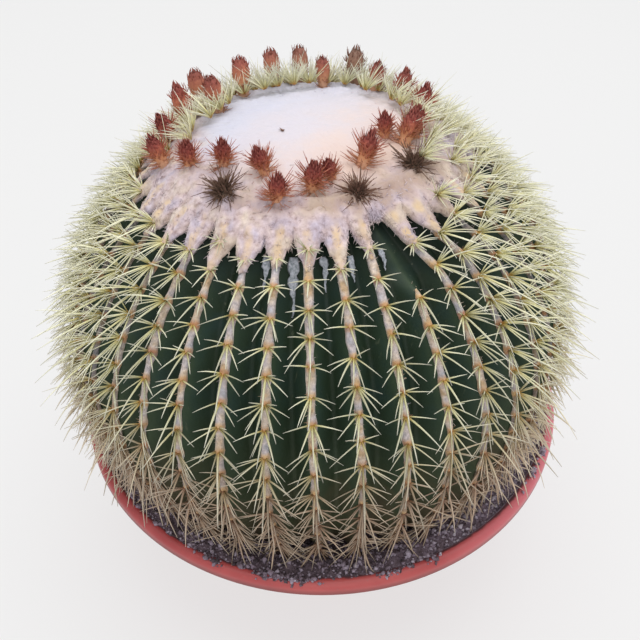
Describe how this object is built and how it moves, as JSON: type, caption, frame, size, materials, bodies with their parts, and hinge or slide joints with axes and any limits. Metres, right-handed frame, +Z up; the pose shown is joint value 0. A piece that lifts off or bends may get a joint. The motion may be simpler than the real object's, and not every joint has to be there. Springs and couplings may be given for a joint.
{
  "type": "potted round cactus",
  "caption": "Round ribbed cactus with rows of golden spines, a woolly crown ringed with dried flower heads, rooted in a wide soil-filled plastic bowl with a rolled lip.",
  "frame": {"origin": "centre of the flat foot of the bowl, on the surface that it stands on", "axes": "+Z up, -Y towards the front, +X to the right as seen from the front"},
  "size_m": [0.4073, 0.4046, 0.4214],
  "materials": {
    "terracotta_plastic": "satin moulded polypropylene, faded terracotta pink",
    "potting_soil": "loose gritty grey-brown crumbs",
    "cactus_skin": "waxy dark blue-green skin, browner near the soil",
    "spines": "straw-yellow needles on orange-yellow and grey felt",
    "crown_wool": "matted cream and pinkish-white plant wool",
    "dried_flower": "dry papery scales, maroon tips over orange-brown"
  },
  "bodies": {
    "root": {"bowl": "terracotta_plastic", "soil": "potting_soil", "cactus_body": "cactus_skin", "crown_wool": "crown_wool", "spine_row_01": "spines", "spine_row_02": "spines", "spine_row_03": "spines", "spine_row_04": "spines", "spine_row_05": "spines", "spine_row_06": "spines", "spine_row_07": "spines", "spine_row_08": "spines", "spine_row_09": "spines", "spine_row_10": "spines", "spine_row_11": "spines", "spine_row_12": "spines", "spine_row_13": "spines", "spine_row_14": "spines", "spine_row_15": "spines", "spine_row_16": "spines", "spine_row_17": "spines", "spine_row_18": "spines", "spine_row_19": "spines", "spine_row_20": "spines", "spine_row_21": "spines", "spine_row_22": "spines", "spine_row_23": "spines", "spine_row_24": "spines", "spine_row_25": "spines", "spine_row_26": "spines", "spine_row_27": "spines", "spine_row_28": "spines", "spine_row_29": "spines", "spine_row_30": "spines", "spine_row_31": "spines", "spine_row_32": "spines", "spine_row_33": "spines", "spine_row_34": "spines", "spine_row_35": "spines", "spine_row_36": "spines", "spine_row_37": "spines", "spine_row_38": "spines", "flower_head_01": "dried_flower", "flower_head_02": "dried_flower", "flower_head_03": "dried_flower", "flower_head_04": "dried_flower", "flower_head_05": "dried_flower", "flower_head_06": "dried_flower", "flower_head_07": "dried_flower", "flower_head_08": "dried_flower", "flower_head_09": "dried_flower", "flower_head_10": "dried_flower", "flower_head_11": "dried_flower", "flower_head_12": "dried_flower", "flower_head_13": "dried_flower", "flower_head_14": "dried_flower", "flower_head_15": "dried_flower", "flower_head_16": "dried_flower", "flower_head_17": "dried_flower", "flower_head_18": "dried_flower"}
  },
  "joints": []
}
